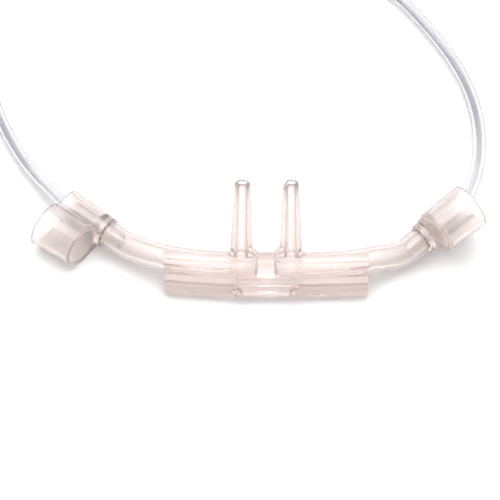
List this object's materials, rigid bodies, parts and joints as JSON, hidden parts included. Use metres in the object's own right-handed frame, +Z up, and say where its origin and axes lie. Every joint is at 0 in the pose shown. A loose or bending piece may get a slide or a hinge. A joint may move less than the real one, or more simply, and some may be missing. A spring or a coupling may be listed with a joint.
{
  "type": "nasal oxygen cannula",
  "caption": "Soft pink nasal cannula facepiece with hollow prongs, moulded tubing connectors and clear ear tubes wound in coils and joined at a Y-piece.",
  "frame": {"origin": "on the floor that the cannula lies on, under the middle of the box of the facepiece and its two connectors", "axes": "+X from the left arm to the right arm, +Y back from the facepiece along the ear tubes, +Z up from the floor"},
  "size_m": [0.1757, 0.1429, 0.0289],
  "materials": {
    "soft_pink_plastic": "translucent soft PVC, glossy as moulded, pale pink, deeper salmon where it is thick",
    "clear_tubing": "clear colourless extruded PVC tubing, smooth and glossy",
    "clear_moulding": "clear colourless moulded PVC"
  },
  "bodies": {
    "root": {"facepiece": "soft_pink_plastic", "left_connector": "soft_pink_plastic", "right_connector": "soft_pink_plastic", "left_ear_tube": "clear_tubing", "left_ear_tube_coil": "clear_tubing", "left_ear_tube_tail": "clear_tubing", "right_ear_tube": "clear_tubing", "right_ear_tube_coil": "clear_tubing", "right_ear_tube_tail": "clear_tubing", "y_piece": "clear_moulding"}
  },
  "joints": []
}
